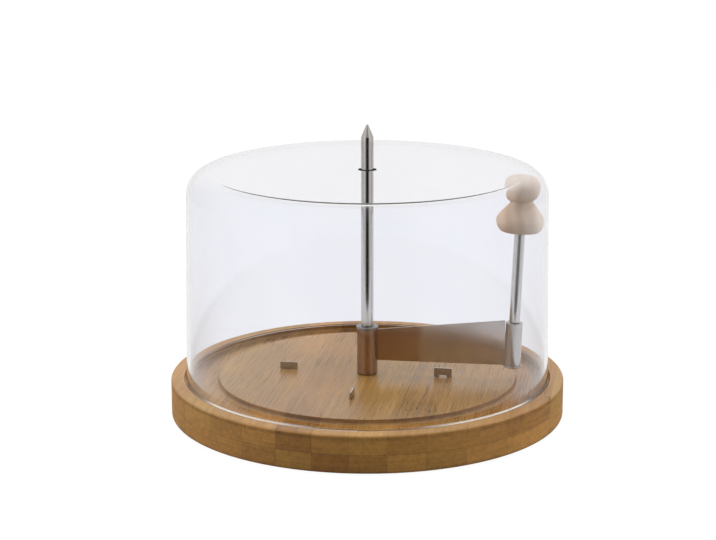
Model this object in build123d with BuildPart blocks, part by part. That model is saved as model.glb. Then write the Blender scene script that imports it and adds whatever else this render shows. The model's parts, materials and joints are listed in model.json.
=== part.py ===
from build123d import *
import math
import os

# Cheese curler: a round bamboo board with a turned groove, a steel spindle through its middle, a scraper
# blade that is turned round the spindle by a knob, and a clear dome that stands in the groove.
# Origin at the centre of the board's underside, +Z up, -Y is the front, sizes in millimetres.

os.makedirs("parts", exist_ok=True)

# Board
board_radius = 110.0
board_height = 21.0
board_edge_rounding = 1.5
rim_width = 7.5
groove_width = 19.2
groove_depth = 3.2
groove_lip_rounding = 0.5
groove_wall_flat = 0.3
groove_outer_cove = 0.8

# Dome
dome_height = 119.7
dome_taper = 2.0
dome_wall = 1.8
dome_foot_rounding = 0.6

# Spindle and the screw that holds it from below
spindle_radius = 3.5
spindle_above_dome = 25.0
spindle_cone_length = 6.9
spindle_tip_radius = 0.5
spindle_foot_chamfer = 0.5
screw_radius = 2.5
screw_in_spindle = 9.0
screw_head_radius = 4.6
screw_head_height = 3.0
screw_head_rounding = 1.2
screw_head_sink = 1.8
hex_recess_radius = 1.7
hex_recess_depth = 1.6
washer_radius = 8.0
washer_thickness = 1.2
wood_under_spindle = 3.0

# Teeth: staple-shaped plates, each with two legs in the board, 90 degrees apart on the disc
tooth_centre_radius = 45.2
right_tooth_centre_radius = 43.0
tooth_width = 10.0
tooth_thickness = 1.0
tooth_leg_width = 2.9
tooth_bridge_height = 4.0
tooth_leg_length = 7.0
tooth_height_above_board = 4.0
right_tooth_extra_height = 1.1
tooth_corner_chamfer = 0.3
first_tooth_azimuth = -10.5
tooth_names = ["tooth_right", "tooth_back", "tooth_left", "tooth_front"]

# Hub that turns on the spindle
hub_tube_wall = 1.0
hub_rest_gap = 0.3
bush_wall = 1.25
bush_length = 8.0
bush_flange_overhang = 0.3
bush_flange_thickness = 1.4
bush_flange_rounding = 0.4

# Blade
blade_azimuth = -8.0
blade_thickness = 1.0
blade_inner_height = 18.1
blade_outer_height = 25.7
blade_corner_drop = 1.2
blade_bevel_height = 2.4
blade_edge_thickness = 0.3

# Handle at the blade's outer end, which leans outwards a little
handle_lean = 2.2
socket_radius = 4.7
socket_below_blade_top = 0.8
rod_radius = 3.0
rod_shoulder_step = 0.55
rod_head_radius = 5.2
rod_head_thickness = 1.2
rod_head_below_edge = 0.7
rod_shoulder_chamfer = 0.4
rod_in_knob = 20.0

# Knob
knob_foot_radius = 10.8
knob_belly_radius = 12.8
knob_neck_radius = 6.4
knob_cap_radius = 9.6
knob_crown_rounding = 5.0
knob_foot_to_belly = 6.7
knob_belly_to_neck = 9.6
knob_neck_to_cap = 7.5

# Clearances between pieces
running_clearance = 0.05
fixed_clearance = 0.02
axial_clearance = 0.1
pocket_end_gap = 0.3
screw_hole_clearance = 0.2
counterbore_clearance = 1.5
dome_groove_clearance = 1.1
dome_hole_clearance = 1.4
blade_tooth_clearance = 2.7
blade_flange_clearance = 0.2
knob_side_clearance = 0.3
knob_top_clearance = 0.85
knob_shoulder_clearance = 0.3

# Board and dome sizes that follow from the ones above
groove_outer_radius = board_radius - rim_width
disc_radius = groove_outer_radius - groove_width
groove_inner_cove = groove_depth - groove_lip_rounding - groove_wall_flat
groove_floor_z = board_height - groove_depth
dome_foot_radius = groove_outer_radius - dome_groove_clearance
dome_shoulder_radius = dome_foot_radius - dome_taper
dome_top_z = groove_floor_z + dome_height
dome_hole_radius = spindle_radius + dome_hole_clearance

# Spindle and screw
screw_head_z = screw_head_sink
washer_z = screw_head_z + screw_head_height
counterbore_depth = washer_z + washer_thickness
counterbore_radius = washer_radius + counterbore_clearance
spindle_foot_z = counterbore_depth + wood_under_spindle
spindle_tip_z = dome_top_z + spindle_above_dome
spindle_cone_z = spindle_tip_z - spindle_cone_length

# Blade and hub: the blade's edge passes over the tallest tooth, and the tube is as long as the blade needs
blade_edge_z = board_height + tooth_height_above_board + right_tooth_extra_height + blade_tooth_clearance
hub_foot_z = board_height + hub_rest_gap
hub_top_z = blade_edge_z + blade_inner_height + blade_flange_clearance
hub_tube_length = hub_top_z - hub_foot_z
bush_bore_radius = spindle_radius + running_clearance
bush_radius = bush_bore_radius + bush_wall
hub_tube_radius = bush_radius + running_clearance + hub_tube_wall
bush_flange_radius = hub_tube_radius + bush_flange_overhang

# Handle: heights are measured along its axis from the rod's foot, and the knob just clears the dome
lean = math.radians(handle_lean)
rod_foot_z = blade_edge_z - rod_head_below_edge
knob_height = knob_foot_to_belly + knob_belly_to_neck + knob_neck_to_cap + knob_crown_rounding
knob_foot = dome_top_z - dome_wall - knob_top_clearance - knob_height - rod_foot_z
knob_belly = knob_foot + knob_foot_to_belly
knob_neck = knob_belly + knob_belly_to_neck
knob_cap = knob_neck + knob_neck_to_cap
knob_top = knob_foot + knob_height
knob_centre_radius = dome_shoulder_radius - dome_wall - knob_side_clearance - knob_belly_radius
handle_centre_radius = knob_centre_radius - knob_belly * math.sin(lean)
blade_end_radius = handle_centre_radius - socket_radius
rod_journal_radius = rod_radius - rod_shoulder_step
socket_bore_radius = rod_journal_radius + running_clearance
socket_top = rod_head_below_edge + blade_outer_height - socket_below_blade_top
socket_foot = rod_head_thickness + axial_clearance
rod_shoulder = socket_top + axial_clearance
rod_top = knob_foot + rod_in_knob

# Dome shoulder: as round as it can be with the knob's crown inside it
knob_top_radius = knob_cap_radius - knob_crown_rounding
crown_centre_radius = handle_centre_radius + knob_cap * math.sin(lean) + knob_top_radius * math.cos(lean)
crown_centre_z = rod_foot_z + knob_cap * math.cos(lean) - knob_top_radius * math.sin(lean)
crown_reach = knob_crown_rounding + knob_shoulder_clearance
side_room = dome_shoulder_radius - dome_wall - crown_centre_radius - crown_reach
top_room = dome_top_z - dome_wall - crown_centre_z - crown_reach
inner_shoulder_rounding = crown_reach + side_room + top_room + math.sqrt(2 * side_room * top_room)
dome_shoulder_rounding = inner_shoulder_rounding + dome_wall

# Directions: outwards along the blade, square to it, and along the leaning handle
azimuth = math.radians(blade_azimuth)
outwards = Vector(math.cos(azimuth), math.sin(azimuth), 0)
sideways = Vector(-math.sin(azimuth), math.cos(azimuth), 0)
upwards = Vector(0, 0, 1)
handle_direction = outwards * math.sin(lean) + upwards * math.cos(lean)
handle_foot = outwards * handle_centre_radius + upwards * rod_foot_z
blade_plane = Plane(origin=(0, 0, 0), x_dir=outwards, z_dir=-sideways)
handle_plane = Plane(origin=handle_foot, x_dir=sideways, z_dir=handle_direction)
handle_section = Plane(
    origin=handle_foot,
    x_dir=outwards * math.cos(lean) - upwards * math.sin(lean),
    z_dir=-sideways,
)
handle_axis = Axis(handle_foot, handle_direction)


def tooth_azimuth(place):
    """Azimuth of a tooth in degrees: the places are a quarter turn apart."""
    return first_tooth_azimuth + 90 * place


def tooth_radius(place):
    """Distance from the spindle to a tooth's centre: the one on the right stands a little nearer."""
    return right_tooth_centre_radius if place == 0 else tooth_centre_radius


def tooth_top(place):
    """Height of a tooth's top edge: the one on the right stands a little prouder."""
    extra = right_tooth_extra_height if place == 0 else 0
    return board_height + tooth_height_above_board + extra


def tooth_direction(place):
    """Unit vector from the spindle to a tooth."""
    angle = math.radians(tooth_azimuth(place))
    return Vector(math.cos(angle), math.sin(angle), 0)


# Board: one glued bamboo blank, turned with a groove round its central disc
leg_spacing = tooth_width - tooth_leg_width
with BuildPart() as base_board:
    with BuildSketch(Plane.XZ):
        with BuildLine():
            outline = FilletPolyline(
                (0, 0),
                (board_radius, 0),
                (board_radius, board_height),
                (groove_outer_radius, board_height),
                (groove_outer_radius, groove_floor_z),
                (disc_radius, groove_floor_z),
                (disc_radius, board_height),
                (0, board_height),
                radius=[
                    board_edge_rounding,
                    board_edge_rounding,
                    groove_lip_rounding,
                    groove_outer_cove,
                    groove_inner_cove,
                    groove_lip_rounding,
                ],
            )
            Line(outline @ 1, outline @ 0)
        make_face()
    revolve(axis=Axis.Z)
    with Locations((0, 0, board_height)):
        Hole(spindle_radius + fixed_clearance, depth=board_height - spindle_foot_z)
    with Locations(-Plane.XY):
        CounterBoreHole(
            radius=screw_radius + screw_hole_clearance,
            counter_bore_radius=counterbore_radius,
            counter_bore_depth=counterbore_depth,
            depth=spindle_foot_z,
        )
    for place in range(len(tooth_names)):
        pocket_centre = tooth_direction(place) * tooth_radius(place)
        pocket_plane = Plane(origin=pocket_centre, x_dir=tooth_direction(place), z_dir=(0, 0, 1))
        pocket_floor = tooth_top(place) - tooth_bridge_height - tooth_leg_length - pocket_end_gap
        with BuildSketch(pocket_plane.offset(board_height)):
            with GridLocations(leg_spacing, 0, 2, 1):
                Rectangle(tooth_leg_width + 2 * fixed_clearance, tooth_thickness + 2 * fixed_clearance)
        extrude(amount=pocket_floor - board_height, mode=Mode.SUBTRACT)
base_board.part.label = "base_board"
export_step(base_board.part, "parts/base_board.step")

# Teeth: a bridge between two legs, with its open notch towards the board
for place, tooth_name in enumerate(tooth_names):
    tooth_plane = Plane(
        origin=tooth_direction(place) * tooth_radius(place),
        x_dir=tooth_direction(place),
        z_dir=tooth_direction(place).cross(upwards),
    )
    leg_foot = tooth_top(place) - tooth_bridge_height - tooth_leg_length
    notch_top = tooth_top(place) - tooth_bridge_height
    with BuildPart() as tooth:
        with BuildSketch(tooth_plane):
            with Locations((0, leg_foot)):
                Rectangle(tooth_width, tooth_top(place) - leg_foot, align=(Align.CENTER, Align.MIN))
                Rectangle(
                    tooth_width - 2 * tooth_leg_width,
                    notch_top - leg_foot,
                    align=(Align.CENTER, Align.MIN),
                    mode=Mode.SUBTRACT,
                )
            chamfer(vertices().group_by(Axis.Y)[-1], tooth_corner_chamfer)
        extrude(amount=tooth_thickness / 2, both=True)
    tooth.part.label = tooth_name
    export_step(tooth.part, f"parts/{tooth_name}.step")

# Spindle: plain pin with a cone tip, bored at its foot for the screw
with BuildPart() as spindle:
    with BuildSketch(Plane.XZ):
        with BuildLine():
            Polyline(
                (0, spindle_foot_z),
                (spindle_radius - spindle_foot_chamfer, spindle_foot_z),
                (spindle_radius, spindle_foot_z + spindle_foot_chamfer),
                (spindle_radius, spindle_cone_z),
                (spindle_tip_radius, spindle_tip_z),
                (0, spindle_tip_z),
                close=True,
            )
        make_face()
    revolve(axis=Axis.Z)
    with Locations(Plane(origin=(0, 0, spindle_foot_z), z_dir=(0, 0, -1))):
        Hole(screw_radius + fixed_clearance, depth=screw_in_spindle + pocket_end_gap)
spindle.part.label = "spindle"
export_step(spindle.part, "parts/spindle.step")

with BuildPart() as spindle_washer:
    with BuildSketch(Plane.XY.offset(washer_z)):
        Circle(washer_radius)
        Circle(screw_radius + screw_hole_clearance, mode=Mode.SUBTRACT)
    extrude(amount=washer_thickness)
spindle_washer.part.label = "spindle_washer"
export_step(spindle_washer.part, "parts/spindle_washer.step")

with BuildPart() as spindle_screw:
    with BuildSketch(Plane.XY.offset(screw_head_z)):
        Circle(screw_head_radius)
    extrude(amount=screw_head_height)
    fillet(edges().group_by(Axis.Z)[0], screw_head_rounding)
    with BuildSketch(Plane.XY.offset(washer_z)):
        Circle(screw_radius)
    extrude(amount=spindle_foot_z + screw_in_spindle - washer_z)
    with BuildSketch(Plane.XY.offset(screw_head_z)):
        RegularPolygon(hex_recess_radius, 6)
    extrude(amount=hex_recess_depth, mode=Mode.SUBTRACT)
spindle_screw.part.label = "spindle_screw"
export_step(spindle_screw.part, "parts/spindle_screw.step")

# Hub: a tube that turns on two bushes, the upper one with a flange that covers the tube's end
with BuildPart() as hub_tube:
    with BuildSketch(Plane.XY.offset(hub_foot_z)):
        Circle(hub_tube_radius)
        Circle(hub_tube_radius - hub_tube_wall, mode=Mode.SUBTRACT)
    extrude(amount=hub_tube_length)
hub_tube.part.label = "hub_tube"
export_step(hub_tube.part, "parts/hub_tube.step")

with BuildPart() as hub_bush_upper:
    with BuildSketch(Plane.XY.offset(hub_top_z - bush_length)):
        Circle(bush_radius)
    extrude(amount=bush_length + axial_clearance)
    with BuildSketch(Plane.XY.offset(hub_top_z + axial_clearance)):
        Circle(bush_flange_radius)
    extrude(amount=bush_flange_thickness)
    fillet(edges().group_by(Axis.Z)[-1], bush_flange_rounding)
    with Locations((0, 0, hub_top_z + axial_clearance + bush_flange_thickness)):
        Hole(bush_bore_radius)
hub_bush_upper.part.label = "hub_bush_upper"
export_step(hub_bush_upper.part, "parts/hub_bush_upper.step")

with BuildPart() as hub_bush_lower:
    with BuildSketch(Plane.XY.offset(hub_foot_z)):
        Circle(bush_radius)
        Circle(bush_bore_radius, mode=Mode.SUBTRACT)
    extrude(amount=bush_length)
hub_bush_lower.part.label = "hub_bush_lower"
export_step(hub_bush_lower.part, "parts/hub_bush_lower.step")

# Blade: a plate between the hub tube and the handle socket, bevelled to a level lower edge
with BuildPart() as blade:
    with BuildSketch(blade_plane):
        with BuildLine():
            Polyline(
                (0, blade_edge_z),
                (handle_centre_radius, blade_edge_z),
                (handle_centre_radius, blade_edge_z + blade_outer_height - blade_corner_drop),
                (blade_end_radius, blade_edge_z + blade_outer_height),
                (hub_tube_radius, blade_edge_z + blade_inner_height),
                (0, blade_edge_z + blade_inner_height),
                close=True,
            )
        make_face()
    extrude(amount=blade_thickness / 2, both=True)
    with BuildSketch(Plane(origin=upwards * blade_edge_z, x_dir=sideways, z_dir=outwards)):
        with BuildLine():
            Polyline(
                (blade_edge_thickness - blade_thickness / 2, 0),
                (blade_thickness / 2, blade_bevel_height),
                (blade_thickness / 2, 0),
                close=True,
            )
        make_face()
    extrude(amount=handle_centre_radius, mode=Mode.SUBTRACT)
    with BuildSketch(Plane.XY.offset(hub_foot_z)):
        Circle(hub_tube_radius)
    extrude(amount=hub_tube_length + blade_outer_height, mode=Mode.SUBTRACT)
    with BuildSketch(handle_plane.offset(-rod_head_thickness)):
        Circle(rod_head_radius + running_clearance)
    extrude(amount=rod_head_thickness + socket_foot, mode=Mode.SUBTRACT)
    with BuildSketch(handle_plane.offset(rod_head_thickness)):
        Circle(socket_radius)
    extrude(amount=blade_outer_height, mode=Mode.SUBTRACT)
blade.part.label = "blade"
export_step(blade.part, "parts/blade.step")

# Handle: the rod turns in the socket, held by its head below and its shoulder above
with BuildPart() as handle_socket:
    with BuildSketch(handle_plane.offset(socket_foot)):
        Circle(socket_radius)
        Circle(socket_bore_radius, mode=Mode.SUBTRACT)
    extrude(amount=socket_top - socket_foot)
handle_socket.part.label = "handle_socket"
export_step(handle_socket.part, "parts/handle_socket.step")

with BuildPart() as handle_rod:
    with BuildSketch(handle_section):
        with BuildLine():
            Polyline(
                (0, 0),
                (rod_head_radius, 0),
                (rod_head_radius, rod_head_thickness),
                (rod_journal_radius, rod_head_thickness),
                (rod_journal_radius, rod_shoulder),
                (rod_radius - rod_shoulder_chamfer, rod_shoulder),
                (rod_radius, rod_shoulder + rod_shoulder_chamfer),
                (rod_radius, rod_top),
                (0, rod_top),
                close=True,
            )
        make_face()
    revolve(axis=handle_axis)
handle_rod.part.label = "handle_rod"
export_step(handle_rod.part, "parts/handle_rod.step")

# Knob: turned wood with a round belly, a narrow neck and a cap, on the rod's upper end
with BuildPart() as knob:
    with BuildSketch(handle_section):
        with BuildLine():
            foot = Line((0, knob_foot), (knob_foot_radius, knob_foot))
            side = Spline(
                foot @ 1,
                (knob_belly_radius, knob_belly),
                (knob_neck_radius, knob_neck),
                (knob_cap_radius, knob_cap),
                tangents=[(1, 1), (0, 1)],
            )
            crown = TangentArc(side @ 1, (knob_top_radius, knob_top), tangent=(0, 1))
            top = Line(crown @ 1, (0, knob_top))
            Line(top @ 1, foot @ 0)
        make_face()
    revolve(axis=handle_axis)
    with BuildSketch(handle_plane.offset(knob_foot)):
        Circle(rod_radius + fixed_clearance)
    extrude(amount=rod_in_knob + pocket_end_gap, mode=Mode.SUBTRACT)
knob.part.label = "knob"
export_step(knob.part, "parts/knob.step")

# Dome: a thin shell, a little wider at its foot, with a hole for the spindle
with BuildPart() as dome:
    with BuildSketch(Plane.XZ):
        with BuildLine():
            outside = FilletPolyline(
                (dome_foot_radius, groove_floor_z),
                (dome_shoulder_radius, dome_top_z),
                (dome_hole_radius, dome_top_z),
                radius=dome_shoulder_rounding,
            )
            inside = FilletPolyline(
                (dome_foot_radius - dome_wall, groove_floor_z),
                (dome_shoulder_radius - dome_wall, dome_top_z - dome_wall),
                (dome_hole_radius, dome_top_z - dome_wall),
                radius=inner_shoulder_rounding,
            )
            Line(outside @ 0, inside @ 0)
            Line(outside @ 1, inside @ 1)
        make_face()
    revolve(axis=Axis.Z)
    fillet(edges().group_by(Axis.Z)[0], dome_foot_rounding)
dome.part.label = "dome"
export_step(dome.part, "parts/dome.step")
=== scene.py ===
import json
import math

import bpy
from mathutils import Matrix, Vector

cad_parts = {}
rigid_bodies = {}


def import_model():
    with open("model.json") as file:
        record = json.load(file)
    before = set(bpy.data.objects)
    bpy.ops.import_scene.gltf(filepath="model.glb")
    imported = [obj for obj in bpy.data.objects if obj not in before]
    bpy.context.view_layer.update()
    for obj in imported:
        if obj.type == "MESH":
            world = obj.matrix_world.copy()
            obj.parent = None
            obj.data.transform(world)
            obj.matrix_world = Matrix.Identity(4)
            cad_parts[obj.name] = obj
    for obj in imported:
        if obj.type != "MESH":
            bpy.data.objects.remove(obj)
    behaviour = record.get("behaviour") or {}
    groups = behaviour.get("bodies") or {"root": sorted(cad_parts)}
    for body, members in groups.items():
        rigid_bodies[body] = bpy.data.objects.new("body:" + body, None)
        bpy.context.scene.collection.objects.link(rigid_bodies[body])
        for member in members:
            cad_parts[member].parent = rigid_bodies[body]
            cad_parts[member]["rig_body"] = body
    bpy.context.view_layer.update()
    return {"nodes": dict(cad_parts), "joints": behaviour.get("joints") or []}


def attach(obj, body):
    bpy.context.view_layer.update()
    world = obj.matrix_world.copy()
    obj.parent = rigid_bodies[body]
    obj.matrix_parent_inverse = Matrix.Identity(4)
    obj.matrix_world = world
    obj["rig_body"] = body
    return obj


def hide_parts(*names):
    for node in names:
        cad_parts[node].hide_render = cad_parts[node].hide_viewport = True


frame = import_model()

# Cheese curler: bamboo board, steel spindle and teeth, turning scraper blade with a wooden knob, clear dome.
# Sizes of pieces are in millimetres. They become metres when a mesh is made, and in Steps.zone.

MM = 0.001

# Board, with the groove that the dome stands in, and its holes from below and above
BOARD_RADIUS = 110.0
BOARD_TOP = 21.0
DISC_RADIUS = 83.3
GROOVE_RADIUS = 102.5
GROOVE_FLOOR = 17.8
COUNTERBORE_RADIUS = 9.5
COUNTERBORE_TOP = 6.0
SCREW_HOLE_RADIUS = 2.7
SPINDLE_HOLE_RADIUS = 3.52

# Bamboo strips: width, where one of them starts, height where the two layers meet, turn of the grain
STRIP_WIDTH = 19.5
STRIP_START = 7.6
LAYER_HEIGHT = 10.3
GRAIN = math.radians(9)

# Teeth: azimuth in degrees, distance from the spindle and height of the top
TEETH = {
    "tooth_right": (-10.5, 43.0, 26.1),
    "tooth_back": (79.5, 45.2, 25.0),
    "tooth_left": (169.5, 45.2, 25.0),
    "tooth_front": (259.5, 45.2, 25.0),
}
TOOTH_HALF_WIDTH = 5.0
TOOTH_HALF_GAP = 2.1
TOOTH_LENGTH = 11.0
TOOTH_BRIDGE = 4.0
TOOTH_CORNER = 0.3
TOOTH_THICKNESS = 1.0
PLATE_ROUNDING = 0.12

# Spindle
SPINDLE_FOOT = 9.0
SPINDLE_TIP = 162.5
SPINDLE_RADIUS = 3.5
SPINDLE_CHAMFER = 0.5
SPINDLE_CONE = 6.9
SPINDLE_TIP_RADIUS = 0.5

# Hub tube and its upper bush
HUB_RADIUS = 5.85
HUB_BORE = 4.85
HUB_FOOT = 21.3
HUB_TOP = 47.1
BUSH_BORE = 3.55
BUSH_RADIUS = 4.8
BUSH_FOOT = 39.1
FLANGE_RADIUS = 6.15
FLANGE_FOOT = 47.2
FLANGE_TOP = 48.6

# Blade: distances from the spindle's axis, heights, and its section, whose bevel is on the back
BLADE_AZIMUTH = math.radians(-8.0)
BLADE_START = 5.3
BLADE_RELIEF = 76.0
BLADE_AT_SOCKET = 76.55
BLADE_END = 77.2
BLADE_EDGE = 28.8
BLADE_RELIEF_TOP = 29.4
BLADE_TOP_AT_HUB = 46.9
BLADE_TOP_AT_SOCKET = 54.5
BLADE_HALF = 0.5
BEVEL_FOOT = -0.2
BEVEL_HEIGHT = 2.4

# Handle, with heights along its own leaning axis
SOCKET_RADIUS = 4.7
SOCKET_BORE = 2.5
SOCKET_FOOT = 1.3
SOCKET_TOP = 25.6
ROD_RADIUS = 3.0
ROD_CHAMFER = 0.4
ROD_HEAD_RADIUS = 5.2
ROD_HEAD_TOP = 1.2
ROD_JOURNAL_RADIUS = 2.45
ROD_SHOULDER = 25.7
ROD_TOP = 97.9

# Dome, with a small bead where it passes the board's top
DOME_FOOT_RADIUS = 101.4
DOME_SHOULDER_RADIUS = 99.4
DOME_ROUNDING = 12.47
DOME_TOP = 137.5
DOME_WALL = 1.8
DOME_HOLE_RADIUS = 4.9
BEAD_FOOT = 20.5
BEAD_MIDDLE = 20.85
BEAD_TOP = 21.3
BEAD_HEIGHT = 0.3

# Room seen in reflections: share of the way from the front to the back, and level there
ROOM_LEVELS = {0.0: 0.01, 0.09: 0.03, 0.155: 0.33, 0.24: 0.86, 0.36: 0.8, 0.5: 0.6, 0.68: 0.75, 0.88: 1.0}

# Floor, lamp and camera, in metres and watts
FLOOR_RADIUS = 0.75
FLOOR_BACK = 0.53
FLOOR_SIDES = 128
LAMP_PLACE = (0.0, 0.35, 1.3)
LAMP_AIM = (0.0, 0.0, 0.02)
LAMP_WIDTH = 1.2
LAMP_DEPTH = 1.0
LAMP_POWER = 9.8
CAMERA_DISTANCE = 1.135
CAMERA_ELEVATION = math.radians(18.14)
CAMERA_TILT = math.radians(14.2)


# Meshes

def rounded(corners, closed, steps):
    """Rounds an (r, z, radius) outline that has its material on the left.

    Returns (r, z, normal r, normal z) points.
    """
    points = []
    count = len(corners)
    for i, (r, z, radius) in enumerate(corners):
        here = Vector((r, z))
        before = Vector(corners[i - 1][:2]) if closed or i else None
        after = Vector(corners[(i + 1) % count][:2]) if closed or i < count - 1 else None
        into = (here - before).normalized() if before else None
        out = (after - here).normalized() if after else None
        if into is None or out is None:
            way = out or into
            points.append((r, z, way.y, -way.x))
            continue
        turn = math.atan2(into.x * out.y - into.y * out.x, into.dot(out))
        cut = radius * math.tan(abs(turn) / 2)
        side = 1 if turn > 0 else -1
        normal = Vector((into.y, -into.x))
        centre = here - into * cut - normal * radius * side
        for step in range(steps + 1):
            angle = turn * step / steps
            c, s = math.cos(angle), math.sin(angle)
            n = Vector((normal.x * c - normal.y * s, normal.x * s + normal.y * c))
            p = centre + n * radius * side
            points.append((p.x, p.y, n.x, n.y))
    return points


def lathe(name, points, segments, closed, place):
    """Turns (r, z, normal r, normal z) points round the local Z axis, with exact normals."""
    turn = place.to_3x3()
    verts, normals, rings = [], [], []
    for r, z, nr, nz in points:
        ring = []
        for j in range(segments if r > 1e-6 else 1):
            a = 2 * math.pi * j / segments
            c, s = math.cos(a), math.sin(a)
            ring.append(len(verts))
            verts.append(place @ Vector((r * c * MM, r * s * MM, z * MM)))
            normals.append((turn @ Vector((nr * c, nr * s, nz))).normalized())
        rings.append(ring)
    faces = []
    for i in range(len(rings) if closed else len(rings) - 1):
        a, b = rings[i], rings[(i + 1) % len(rings)]
        for j in range(segments):
            k = (j + 1) % segments
            if len(a) == 1:
                faces.append((a[0], b[k], b[j]))
            elif len(b) == 1:
                faces.append((a[j], a[k], b[0]))
            else:
                faces.append((a[j], a[k], b[k], b[j]))
    return make(name, verts, faces, normals)


def make(name, verts, faces, normals=None):
    """Makes a linked mesh object; with normals it is shaded smooth by them."""
    mesh = bpy.data.meshes.new(name)
    mesh.from_pydata(verts, [], faces)
    mesh.validate()
    if normals:
        mesh.polygons.foreach_set("use_smooth", [True] * len(mesh.polygons))
        mesh.normals_split_custom_set_from_vertices(normals)
    obj = bpy.data.objects.new(name, mesh)
    bpy.context.scene.collection.objects.link(obj)
    return obj


def soften(obj):
    """Rounds the edges of a plate."""
    bevel = obj.modifiers.new("bevel", "BEVEL")
    bevel.width = PLATE_ROUNDING * MM
    bevel.segments = 3
    bevel.limit_method = "ANGLE"
    bevel.angle_limit = math.radians(25)
    bevel.harden_normals = True
    return obj


def plate(name, outline, thickness, place):
    """Extrudes an outline in the local XZ plane, half the thickness to each side."""
    count = len(outline)
    half = thickness / 2
    verts = [place @ Vector((x * MM, y * MM, z * MM)) for y in (-half, half) for x, z in outline]
    faces = [tuple(range(count)), tuple(range(2 * count - 1, count - 1, -1))]
    for i in range(count):
        k = (i + 1) % count
        faces.append((i, i + count, k + count, k))
    return make(name, verts, faces)


def stand_for(obj, node, material):
    """Shows obj in place of a CAD node, on that node's body and with a material."""
    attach(obj, frame["nodes"][node]["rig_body"])
    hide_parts(node)
    obj.data.materials.append(material)
    return obj


def turned(name, node, material, corners, steps, segments=96, closed=True, place=Matrix.Identity(4)):
    """Makes a turned piece from an (r, z, rounding) outline and shows it in place of a CAD node."""
    obj = lathe(name, rounded(corners, closed, steps), segments, closed, place)
    return stand_for(obj, node, material)


# Materials

class Steps:
    """Adds shader nodes and links them, so that a material reads as a list of steps."""

    def __init__(self, tree):
        self.tree = tree
        tree.nodes.clear()

    def add(self, kind, out=0, links=None, **settings):
        """Adds a node with its settings and its inputs, which are sockets or values. Returns one output."""
        node = self.tree.nodes.new(kind)
        for key, value in settings.items():
            setattr(node, key, value)
        for key, value in (links or {}).items():
            if isinstance(value, bpy.types.NodeSocket):
                self.tree.links.new(value, node.inputs[key])
            else:
                node.inputs[key].default_value = value
        return node.outputs[out]

    def math(self, operation, a, b=0.0):
        return self.add("ShaderNodeMath", links={0: a, 1: b}, operation=operation)

    def product(self, first, *others):
        for other in others:
            first = self.math("MULTIPLY", first, other)
        return first

    def scaled(self, value, factor, offset):
        """The value times the factor, plus the offset."""
        return self.math("ADD", self.product(value, factor), offset)

    def less(self, value, marks):
        """The value less each mark times its weight."""
        for mark, weight in marks:
            value = self.math("SUBTRACT", value, self.product(mark, weight))
        return value

    def swung(self, value, noises):
        """The value plus each noise times its weight, with the noise swinging round zero."""
        for noise, weight in noises:
            value = self.math("ADD", value, self.product(self.math("SUBTRACT", noise, 0.5), weight))
        return value

    def ramp(self, value, low, high, to_low=0.0, to_high=1.0, smooth=True):
        kind = "SMOOTHSTEP" if smooth else "LINEAR"
        links = {0: value, 1: low, 2: high, 3: to_low, 4: to_high}
        return self.add("ShaderNodeMapRange", links=links, interpolation_type=kind)

    def zone(self, value, low, high, to_low=0.0, to_high=1.0):
        """A smooth ramp whose limits are in millimetres."""
        return self.ramp(value, low * MM, high * MM, to_low, to_high)

    def split(self, vector):
        node = self.tree.nodes.new("ShaderNodeSeparateXYZ")
        self.tree.links.new(vector, node.inputs[0])
        return tuple(node.outputs)

    def object_place(self):
        """The place on the object in metres: as a vector, then x, y and z."""
        position = self.add("ShaderNodeTexCoord", out="Object")
        return position, *self.split(position)

    def length(self, x, y):
        vector = self.add("ShaderNodeCombineXYZ", links={0: x, 1: y})
        return self.add("ShaderNodeVectorMath", out="Value", links={0: vector}, operation="LENGTH")

    def from_front(self, x, y):
        """The angle from the front, the same to the left and to the right."""
        return self.math("ABSOLUTE", self.math("ARCTAN2", x, self.product(y, -1.0)))

    def stretched(self, values, scales):
        """A vector of three values, each with its own scale per metre."""
        parts = [self.product(value, scale) for value, scale in zip(values, scales)]
        return self.add("ShaderNodeCombineXYZ", links=dict(enumerate(parts)))

    def noise(self, vector, scale=1.0, detail=2.0, roughness=0.5):
        links = {"Vector": vector, "Scale": scale, "Detail": detail, "Roughness": roughness}
        return self.add("ShaderNodeTexNoise", links=links)

    def random(self, value, seed):
        vector = self.add("ShaderNodeCombineXYZ", links={0: value, 1: seed, 2: 0.5})
        return self.add("ShaderNodeTexWhiteNoise", links={"Vector": vector}, noise_dimensions="3D")

    def blend(self, factor, a, b, kind="MIX"):
        links = {0: factor, 6: a, 7: b}
        return self.add("ShaderNodeMix", out=2, links=links, data_type="RGBA", blend_type=kind)

    def tinted(self, colour, tint):
        return self.blend(1.0, colour, tint, "MULTIPLY")

    def shaded(self, colour, shade):
        return self.tinted(colour, self.add("ShaderNodeCombineXYZ", links={0: shade, 1: shade, 2: shade}))

    def bump(self, height, strength, distance):
        links = {"Height": height, "Strength": strength, "Distance": distance}
        return self.add("ShaderNodeBump", links=links)

    def ray(self, name):
        return self.add("ShaderNodeLightPath", out=name)

    def surface(self, **sockets):
        """Ends the tree with a Principled shader; an underscore stands for a space in a socket's name."""
        links = {key.replace("_", " "): value for key, value in sockets.items()}
        self.end(self.add("ShaderNodeBsdfPrincipled", links=links))

    def end(self, shader, kind="ShaderNodeOutputMaterial"):
        output = self.tree.nodes.new(kind)
        self.tree.links.new(shader, output.inputs["Surface"])


def new_material(name):
    material = bpy.data.materials.new(name)
    material.use_nodes = True
    return material, Steps(material.node_tree)


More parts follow.
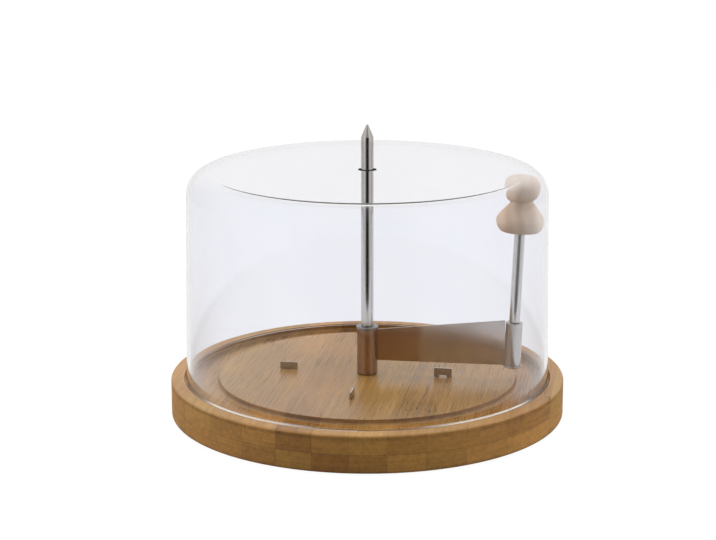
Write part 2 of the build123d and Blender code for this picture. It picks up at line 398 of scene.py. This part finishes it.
def bamboo():
    """Two glued layers of bamboo strips, each strip with its own tone and hue."""
    material, s = new_material("bamboo")
    position, x, y, z = s.object_place()
    radius = s.length(x, y)
    cos, sin = math.cos(GRAIN), math.sin(GRAIN)
    across = s.math("SUBTRACT", s.product(x, cos), s.product(y, sin))
    along = s.math("ADD", s.product(x, sin), s.product(y, cos))
    grain = (across, along, z)

    # Strips are numbered across the grain, and the lower layer draws other tones than the upper one
    lower = s.math("LESS_THAN", z, LAYER_HEIGHT * MM)
    counted = s.math("DIVIDE", s.math("SUBTRACT", across, STRIP_START * MM), STRIP_WIDTH * MM)
    strip = s.math("FLOOR", counted)
    in_strip = s.math("SUBTRACT", counted, strip)
    seed = s.scaled(lower, 7.0, 3.0)
    tone = s.random(strip, seed)
    hue = s.random(strip, s.math("ADD", seed, 20.0))

    # Fibres: fine lines along the grain, seen as dots on the end faces
    fibres = s.noise(s.stretched(grain, (1900, 26, 1900)), detail=3.0, roughness=0.6)
    streaks = s.noise(s.stretched(grain, (420, 6, 420)))
    dashes = s.ramp(s.noise(s.stretched(grain, (1250, 75, 1250)), detail=1.0), 0.6, 0.74)
    layers = s.noise(s.stretched((x, y, z), (22, 22, 760)))
    clouds = s.noise(position, scale=24.0)

    # A culm node crosses each strip somewhere: short dark dashes, only seen on the front half
    spacing, shift, step = 0.3, 0.060, 0.37
    node_at = s.product(s.math("FRACT", s.product(s.math("SUBTRACT", strip, 1.0), step)), spacing)
    from_node = s.math("PINGPONG", s.math("ADD", s.math("SUBTRACT", along, node_at), shift), spacing / 2)
    specks = s.ramp(s.noise(s.stretched(grain, (1100, 150, 1100))), 0.5, 0.63)
    fainter_below = s.ramp(lower, 0.0, 1.0, 1.0, 0.25)
    knuckle = s.product(s.zone(from_node, 20.0, 3.0), specks, fainter_below, s.zone(y, -10.0, -35.0))

    # Flat faces, upright faces, and the top of the board with its groove but without its underside
    facing = s.split(s.add("ShaderNodeTexCoord", out="Normal"))[2]
    flat = s.ramp(s.math("ABSOLUTE", facing), 0.3, 0.9)
    upright = s.math("SUBTRACT", 1.0, flat)
    upper = s.zone(z, 15.0, 16.5)

    # Strips differ less on flat faces than on the sides, and least on the disc
    middle_tone = 0.55
    contrast = s.scaled(s.product(s.zone(radius, 82.5, 86.5), upper), 0.5, 0.4)
    calm = s.scaled(s.math("SUBTRACT", tone, middle_tone), contrast, middle_tone)
    tone = s.math("ADD", s.product(flat, calm), s.product(upright, tone))

    dark, pale, olive = (0.325, 0.150, 0.034, 1), (0.49, 0.256, 0.064, 1), (0.42, 0.252, 0.060, 1)
    # Painted shade: upright faces are painted darker and redder than flat faces
    side_painted_shade = (0.89, 0.80, 0.65, 1)
    colour = s.blend(tone, dark, pale)
    colour = s.blend(s.product(hue, 0.6), colour, olive)
    colour = s.blend(flat, s.tinted(colour, side_painted_shade), colour)

    # From above, the disc is painted a little paler and bluer and the rim greyer, a painted sheen, and the
    # groove darker, a painted shade
    disc, groove, rim = (1.03, 1.03, 1.07, 1), (0.93, 0.85, 0.78, 1), (0.95, 0.97, 1.32, 1)
    painted_sheen_and_shade = s.blend(s.zone(radius, 82.8, 84.5), disc, groove)
    painted_sheen_and_shade = s.blend(s.zone(radius, 101.8, 103.0), painted_sheen_and_shade, rim)
    colour = s.blend(s.product(flat, upper), colour, s.tinted(colour, painted_sheen_and_shade))

    # Upright faces are darker in a band just below the top, which takes in the board's side and the groove's
    # walls, and near the bottom. The groove is painted darker, a painted shade that grows towards its outer
    # wall, and the board's top under the dome, the disc and the lip's inner edge, is painted darker as the
    # dome's shadow
    top_edge = s.product(s.zone(z, 17.2, 19.0), s.zone(z, 20.4, 19.6))
    darker_edge_bands = s.product(s.math("MAXIMUM", top_edge, s.zone(z, 3.0, 0.5)), upright)
    # Painted shade in the groove, stronger towards its outer wall
    groove_painted_shade = s.product(s.zone(z, 20.6, 18.5), s.zone(radius, 102.2, 101.4), upper)
    groove_shade_strength = s.zone(radius, 91.5, 96.0, 0.14, 0.5)
    # Painted shadow of the dome, which casts none: the board's top under it, the disc and the lip's inner
    # edge, is painted darker
    dome_painted_shadow = s.product(s.zone(radius, 103.1, 102.6), s.zone(z, 20.0, 20.6))

    # Glue lines between strips and between the two layers
    strip_joint = s.ramp(s.math("PINGPONG", in_strip, 0.5), 0.012, 0.003)
    from_layer = s.math("ABSOLUTE", s.math("SUBTRACT", z, LAYER_HEIGHT * MM))
    lines = s.math("MAXIMUM", strip_joint, s.zone(from_layer, 0.35, 0.1))

    shade = s.scaled(s.math("SUBTRACT", fibres, 0.5), 0.95, 1.0)
    shade = s.swung(shade, [(streaks, 0.6), (layers, 0.45), (clouds, 0.24)])
    marks = [(dashes, 0.14), (knuckle, 0.42), (darker_edge_bands, 0.22), (groove_painted_shade, groove_shade_strength), (dome_painted_shadow, 0.25), (lines, 0.2)]
    colour = s.shaded(colour, s.less(shade, marks))

    relief = s.less(s.math("ADD", fibres, s.product(dashes, -0.5)), [(lines, 0.8)])
    roughness = s.ramp(fibres, 0.3, 0.7, 0.24, 0.36, smooth=False)
    roughness = s.math("ADD", roughness, s.product(upright, 0.35))
    roughness = s.math("ADD", roughness, s.zone(radius, 102.8, 103.5, 0.0, 0.14))
    s.surface(
        Base_Color=colour,
        Roughness=roughness,
        IOR=1.62,
        Specular_Tint=(1, 0.93, 0.78, 1),
        Normal=s.bump(relief, 0.35, 0.08 * MM),
    )
    return material


def turned_wood():
    """Pale turned wood, with faint growth rings and lathe marks."""
    material, s = new_material("pale_wood")
    position, x, y, z = s.object_place()
    warp = s.noise(position, scale=60.0)
    waves = s.math("SINE", s.math("ADD", s.product(x, 900.0), s.product(warp, 5.0)))
    rings = s.product(s.math("ADD", waves, 1.0), 0.5)
    fibres = s.noise(s.stretched((x, y, z), (2600, 2600, 120)), detail=3.0, roughness=0.6)
    pores = s.ramp(s.noise(s.stretched((x, y, z), (3200, 3200, 420)), detail=1.0), 0.62, 0.72)
    colour = s.blend(rings, (0.60, 0.44, 0.32, 1), (0.53, 0.375, 0.26, 1))
    shade = s.scaled(s.math("SUBTRACT", fibres, 0.5), 0.35, 1.0)
    colour = s.shaded(colour, s.less(shade, [(pores, 0.12)]))
    lathe_marks = s.noise(s.stretched((x, y, z), (40, 40, 2400)))
    relief = s.math("ADD", lathe_marks, s.product(fibres, 0.5))
    roughness = s.ramp(fibres, 0.3, 0.7, 0.5, 0.62, smooth=False)
    s.surface(Base_Color=colour, Roughness=roughness, Normal=s.bump(relief, 0.3, 0.06 * MM))
    return material


def steel(name, colour, rough, lines, contrast, strength, wood_reflection=None):
    """Steel with fine scratches: lines is their scale per metre on each axis. Near the hub it can be painted
    with a brown reflection of the wood.
    """
    material, s = new_material(name)
    position, x, y, z = s.object_place()
    scratches = s.noise(s.stretched((x, y, z), lines), detail=3.0, roughness=0.65)
    clouds = s.noise(position, scale=70.0)
    smear = s.math("ADD", s.product(clouds, 0.6), s.product(scratches, 0.4))
    roughness = s.ramp(smear, 0.3, 0.7, rough - contrast, rough + contrast, smooth=False)
    dull = tuple(channel * 0.86 for channel in colour)
    base = s.blend(smear, (*colour, 1), (*dull, 1))
    if wood_reflection:
        # Painted reflection: the brown of the wood, near the hub
        edge = s.swung(s.length(x, y), [(clouds, 6 * MM)])
        base = s.blend(s.zone(edge, 33.0, 27.0), base, (*wood_reflection, 1))
    normal = s.bump(scratches, strength, 0.02 * MM)
    s.surface(Base_Color=base, Metallic=1.0, Roughness=roughness, Normal=normal)
    return material


def clear_plastic():
    """Clear acrylic with a faint cool tint, hardly visible wipe marks and a painted highlight on the bead at
    the foot.
    """
    material, s = new_material("clear_plastic")
    position, x, y, z = s.object_place()
    clouds = s.noise(position, scale=30.0, detail=3.0)
    wipes = s.noise(s.stretched((x, y, z), (90, 90, 500)), detail=3.0)
    haze = s.product(s.ramp(clouds, 0.45, 0.75), s.ramp(wipes, 0.5, 0.8))
    tint = s.blend(s.ramp(clouds, 0.3, 0.7), (0.902, 0.908, 0.942, 1), (0.912, 0.918, 0.948, 1))
    facing = s.add("ShaderNodeLayerWeight", out="Facing", links={"Blend": 0.5})
    tint = s.blend(s.ramp(facing, 0.3, 0.8), tint, (0.85, 0.85, 0.88, 1))

    # The bead has a painted highlight at the front left and front right, whitish and less clear there
    angle = s.from_front(x, y)
    painted_glint = s.product(s.ramp(angle, 0.2, 0.5), s.ramp(angle, 1.1, 0.9))
    painted_glint = s.product(s.zone(z, 21.4, 21.2), s.zone(z, 20.6, 20.8), painted_glint)
    s.surface(
        Base_Color=s.blend(painted_glint, tint, (1.0, 0.96, 0.86, 1)),
        Roughness=s.product(haze, 0.03),
        IOR=1.49,
        Transmission_Weight=s.less(1.0, [(painted_glint, 0.95)]),
        Specular_Tint=(0.25, 0.25, 0.28, 1),
    )
    return material


BAMBOO = bamboo()
PALE_WOOD = turned_wood()
CLEAR = clear_plastic()

# Steels: name, colour, roughness, scratches, contrast of the roughness, strength of the relief
POLISHED = steel("polished_steel", (0.65, 0.63, 0.60), 0.105, (300, 300, 5200), 0.02, 0.06)
SATIN = steel("satin_steel", (0.56, 0.53, 0.50), 0.17, (60, 60, 4200), 0.04, 0.15)
# Blade and hub tube, with a brown painted reflection of the wood near the hub
SATIN_WOOD_REFLECTION = steel(
    "satin_steel_painted_reflection", (0.68, 0.63, 0.59), 0.16, (60, 60, 4200), 0.04, 0.15,
    wood_reflection=(0.48, 0.36, 0.29),
)
BUSH = steel("bush_steel", (0.40, 0.385, 0.37), 0.34, (900, 900, 2600), 0.05, 0.1)
ZINC = steel("zinc_steel", (0.62, 0.63, 0.66), 0.36, (1500, 1500, 1500), 0.08, 0.12)


# Pieces: each corner of a turned piece is its radius, its height and its rounding

board_corners = [
    (COUNTERBORE_RADIUS, 0, 0.3),
    (BOARD_RADIUS, 0, 1.5),
    (BOARD_RADIUS, BOARD_TOP, 1.5),
    (GROOVE_RADIUS, BOARD_TOP, 0.5),
    (GROOVE_RADIUS, GROOVE_FLOOR, 0.8),
    (DISC_RADIUS, GROOVE_FLOOR, 2.4),
    (DISC_RADIUS, BOARD_TOP, 0.5),
    (SPINDLE_HOLE_RADIUS, BOARD_TOP, 0.12),
    (SPINDLE_HOLE_RADIUS, SPINDLE_FOOT, 0.1),
    (SCREW_HOLE_RADIUS, SPINDLE_FOOT, 0.1),
    (SCREW_HOLE_RADIUS, COUNTERBORE_TOP, 0.2),
    (COUNTERBORE_RADIUS, COUNTERBORE_TOP, 0.3),
]
turned("board_turned", "base_board", BAMBOO, board_corners, steps=6, segments=360)

for tooth_name, (tooth_azimuth, tooth_radius, top) in TEETH.items():
    turn = Matrix.Rotation(math.radians(tooth_azimuth), 4, "Z")
    place = turn @ Matrix.Translation((tooth_radius * MM, 0, 0))
    foot = top - TOOTH_LENGTH
    notch = top - TOOTH_BRIDGE
    outline = [
        (-TOOTH_HALF_WIDTH, foot),
        (-TOOTH_HALF_GAP, foot),
        (-TOOTH_HALF_GAP, notch),
        (TOOTH_HALF_GAP, notch),
        (TOOTH_HALF_GAP, foot),
        (TOOTH_HALF_WIDTH, foot),
        (TOOTH_HALF_WIDTH, top - TOOTH_CORNER),
        (TOOTH_HALF_WIDTH - TOOTH_CORNER, top),
        (TOOTH_CORNER - TOOTH_HALF_WIDTH, top),
        (-TOOTH_HALF_WIDTH, top - TOOTH_CORNER),
    ]
    tooth = plate(tooth_name + "_plate", outline, TOOTH_THICKNESS, place)
    stand_for(soften(tooth), tooth_name, SATIN)

spindle_corners = [
    (0, SPINDLE_FOOT, 0),
    (SPINDLE_RADIUS - SPINDLE_CHAMFER, SPINDLE_FOOT, 0.2),
    (SPINDLE_RADIUS, SPINDLE_FOOT + SPINDLE_CHAMFER, 0.3),
    (SPINDLE_RADIUS, SPINDLE_TIP - SPINDLE_CONE, 0.9),
    (SPINDLE_TIP_RADIUS, SPINDLE_TIP, 0.35),
    (0, SPINDLE_TIP, 0),
]
turned("spindle_turned", "spindle", POLISHED, spindle_corners, steps=6, closed=False)

tube_corners = [
    (HUB_BORE, HUB_FOOT, 0.15),
    (HUB_RADIUS, HUB_FOOT, 0.25),
    (HUB_RADIUS, HUB_TOP, 0.2),
    (HUB_BORE, HUB_TOP, 0.15),
]
turned("hub_tube_turned", "hub_tube", SATIN_WOOD_REFLECTION, tube_corners, steps=4)

bush_corners = [
    (BUSH_BORE, BUSH_FOOT, 0.15),
    (BUSH_RADIUS, BUSH_FOOT, 0.2),
    (BUSH_RADIUS, FLANGE_FOOT, 0.02),
    (FLANGE_RADIUS, FLANGE_FOOT, 0.3),
    (FLANGE_RADIUS, FLANGE_TOP, 0.4),
    (BUSH_BORE, FLANGE_TOP, 0.25),
]
turned("hub_bush_upper_turned", "hub_bush_upper", BUSH, bush_corners, steps=5)


def blade_section(radius):
    """The seven points of the blade's section at a distance from the spindle's axis."""
    share = (radius - HUB_RADIUS) / (BLADE_AT_SOCKET - HUB_RADIUS)
    top = min(BLADE_TOP_AT_HUB + share * (BLADE_TOP_AT_SOCKET - BLADE_TOP_AT_HUB), BLADE_TOP_AT_SOCKET)
    relief_share = (BLADE_RELIEF_TOP - BLADE_EDGE) / BEVEL_HEIGHT
    section = [
        (-BLADE_HALF, BLADE_EDGE),
        (BEVEL_FOOT, BLADE_EDGE),
        (BEVEL_FOOT + (BLADE_HALF - BEVEL_FOOT) * relief_share, BLADE_RELIEF_TOP),
        (BLADE_HALF, BLADE_EDGE + BEVEL_HEIGHT),
        (BLADE_HALF, top),
        (-BLADE_HALF, top),
        (-BLADE_HALF, BLADE_RELIEF_TOP),
    ]
    turn = Matrix.Rotation(BLADE_AZIMUTH, 4, "Z")
    return [turn @ Vector((radius * MM, y * MM, z * MM)) for y, z in section]


# The blade has its full section up to the relief, and from there to its end only the part above the
# relief's top. The points of its three sections are numbered 0 to 6, 7 to 13 and 14 to 18.
blade_verts = blade_section(BLADE_START) + blade_section(BLADE_RELIEF) + blade_section(BLADE_END)[2:]
blade_faces = [(6, 5, 4, 3, 2, 1, 0), (7, 8, 9, 13), (14, 15, 16, 17, 18)]
blade_faces += [(i, (i + 1) % 7, 7 + (i + 1) % 7, 7 + i) for i in range(7)]
blade_faces += [(i, i + 1, i + 6, i + 5) for i in range(9, 13)]
blade_faces += [(13, 9, 14, 18)]
blade = make("blade_plate", blade_verts, blade_faces)
stand_for(soften(blade), "blade", SATIN_WOOD_REFLECTION)

spin = {joint["name"]: joint for joint in frame["joints"]}["handle_spin"]
lean = Vector((0, 0, 1)).rotation_difference(Vector(spin["axis"]).normalized())
handle_place = Matrix.Translation(Vector(spin["pos_m"])) @ lean.to_matrix().to_4x4()

socket_corners = [
    (SOCKET_BORE, SOCKET_FOOT, 0.15),
    (SOCKET_RADIUS, SOCKET_FOOT, 0.25),
    (SOCKET_RADIUS, SOCKET_TOP, 0.35),
    (SOCKET_BORE, SOCKET_TOP, 0.2),
]
turned(
    "handle_socket_turned", "handle_socket", SATIN, socket_corners, steps=5,
    place=handle_place,
)

rod_corners = [
    (0, 0, 0),
    (ROD_HEAD_RADIUS, 0, 0.35),
    (ROD_HEAD_RADIUS, ROD_HEAD_TOP, 0.3),
    (ROD_JOURNAL_RADIUS, ROD_HEAD_TOP, 0.1),
    (ROD_JOURNAL_RADIUS, ROD_SHOULDER, 0.05),
    (ROD_RADIUS - ROD_CHAMFER, ROD_SHOULDER, 0.05),
    (ROD_RADIUS, ROD_SHOULDER + ROD_CHAMFER, 0.2),
    (ROD_RADIUS, ROD_TOP, 0.3),
    (0, ROD_TOP, 0),
]
turned(
    "handle_rod_turned", "handle_rod", POLISHED, rod_corners, steps=4,
    closed=False, place=handle_place,
)

# The dome's wall leans in a little, also at the start and the end of the bead
dome_corners = [
    (DOME_FOOT_RADIUS - DOME_WALL, GROOVE_FLOOR, 0.6),
    (DOME_FOOT_RADIUS, GROOVE_FLOOR, 0.6),
    (DOME_FOOT_RADIUS - 0.05, BEAD_FOOT, 0.3),
    (DOME_FOOT_RADIUS + BEAD_HEIGHT, BEAD_MIDDLE, 0.2),
    (DOME_FOOT_RADIUS - 0.06, BEAD_TOP, 0.3),
    (DOME_SHOULDER_RADIUS, DOME_TOP, DOME_ROUNDING),
    (DOME_HOLE_RADIUS, DOME_TOP, 0.25),
    (DOME_HOLE_RADIUS, DOME_TOP - DOME_WALL, 0.25),
    (DOME_SHOULDER_RADIUS - DOME_WALL, DOME_TOP - DOME_WALL, DOME_ROUNDING - DOME_WALL),
]
dome = turned("dome_shell", "dome", CLEAR, dome_corners, steps=24, segments=384)
dome.visible_shadow = False
dome.visible_diffuse = False

# These four are shown by their CAD meshes
kept_nodes = {"knob": PALE_WOOD, "hub_bush_lower": BUSH, "spindle_washer": ZINC, "spindle_screw": ZINC}
for node, material in kept_nodes.items():
    mesh = frame["nodes"][node].data
    mesh.materials.clear()
    mesh.materials.append(material)


# Floor, world, light and camera

def floor_material():
    """White to the camera, with the object's faint shadow; plain pale grey to the light it sends back."""
    material, s = new_material("floor")
    seen = s.math("MAXIMUM", s.ray("Is Camera Ray"), s.ray("Is Transmission Ray"))
    seen = s.math("MAXIMUM", seen, s.ray("Is Glossy Ray"))
    grey = s.add("ShaderNodeBsdfDiffuse", links={"Color": (0.3, 0.3, 0.3, 1)})
    pale = s.add("ShaderNodeBsdfDiffuse", links={"Color": (0.9, 0.9, 0.9, 1)})
    white = s.add("ShaderNodeEmission", links={"Color": (1, 1, 1, 1), "Strength": 1.04})
    shown = s.add("ShaderNodeMixShader", links={0: 0.9, 1: pale, 2: white})
    s.end(s.add("ShaderNodeMixShader", links={0: seen, 1: grey, 2: shown}))
    return material


floor_rim = []
for side in range(FLOOR_SIDES):
    angle = 2 * math.pi * side / FLOOR_SIDES
    floor_rim.append(Vector((FLOOR_RADIUS * math.cos(angle), FLOOR_BACK + FLOOR_RADIUS * math.sin(angle), 0)))
floor = make("floor", floor_rim, [tuple(range(FLOOR_SIDES))])
floor.data.materials.append(floor_material())
floor.visible_glossy = False


def studio():
    """White as it is seen, also through the dome. In reflections it is a room with a dark front."""
    world = bpy.data.worlds.new("studio")
    world.use_nodes = True
    s = Steps(world.node_tree)
    x, y, z = s.split(s.add("ShaderNodeTexCoord", out="Generated"))
    angle = s.from_front(x, y)
    overhead = s.ramp(z, 0.45, 0.8)

    # Reflections: the room's level from the front, at 0, to the back, at 1
    around = s.tree.nodes.new("ShaderNodeValToRGB")
    s.tree.links.new(s.math("DIVIDE", angle, math.pi), around.inputs[0])
    elements = around.color_ramp.elements
    while len(elements) < len(ROOM_LEVELS):
        elements.new(0.5)
    for element, (at, level) in zip(elements, ROOM_LEVELS.items()):
        element.position = at
        element.color = (level, level, level, 1)
    level = s.blend(overhead, around.outputs[0], (0.9, 0.9, 0.9, 1))
    level = s.tinted(level, (1.0, 0.985, 0.96, 1))
    room = s.add("ShaderNodeBackground", links={"Color": level, "Strength": 1.0})

    # Diffuse light: strong from the sides, weak from the front and the back
    sides = s.product(s.ramp(angle, 0.6, 1.35, 0.17, 4.1), s.ramp(angle, 1.7, 2.3, 1.0, 0.3))
    soft = s.math("ADD", s.product(sides, s.math("SUBTRACT", 1.0, overhead)), s.product(overhead, 0.52))
    fill = s.add("ShaderNodeBackground", links={"Strength": soft})

    white = s.add("ShaderNodeBackground", links={"Color": (1, 1, 1, 1), "Strength": 1.0})
    lit = s.add("ShaderNodeMixShader", links={0: s.ray("Is Diffuse Ray"), 1: room, 2: fill})
    reflected = s.math("ADD", s.ray("Glossy Depth"), s.ray("Diffuse Depth"))
    seen = s.math("LESS_THAN", reflected, 0.5)
    s.end(s.add("ShaderNodeMixShader", links={0: seen, 1: lit, 2: white}), "ShaderNodeOutputWorld")
    bpy.context.scene.world = world


studio()

lamp_data = bpy.data.lights.new("top_box", "AREA")
lamp_data.shape = "RECTANGLE"
lamp_data.size = LAMP_WIDTH
lamp_data.size_y = LAMP_DEPTH
lamp_data.energy = LAMP_POWER
lamp = bpy.data.objects.new("top_box", lamp_data)
lamp.location = LAMP_PLACE
lamp.rotation_euler = (Vector(LAMP_AIM) - Vector(LAMP_PLACE)).to_track_quat("-Z", "Y").to_euler()
bpy.context.scene.collection.objects.link(lamp)
lamp.visible_glossy = False
lamp.visible_transmission = False

camera_data = bpy.data.cameras.new("camera")
camera_data.sensor_width = 36.0
camera_data.lens = 100.56
camera_data.shift_x = -0.013
camera = bpy.data.objects.new("camera", camera_data)
camera_back = CAMERA_DISTANCE * math.cos(CAMERA_ELEVATION)
camera_height = CAMERA_DISTANCE * math.sin(CAMERA_ELEVATION)
camera.location = (0, -camera_back, camera_height)
camera.rotation_euler = (math.radians(90) - CAMERA_TILT, 0, 0)
bpy.context.scene.collection.objects.link(camera)
bpy.context.scene.camera = camera
bpy.context.scene.view_settings.view_transform = "Standard"
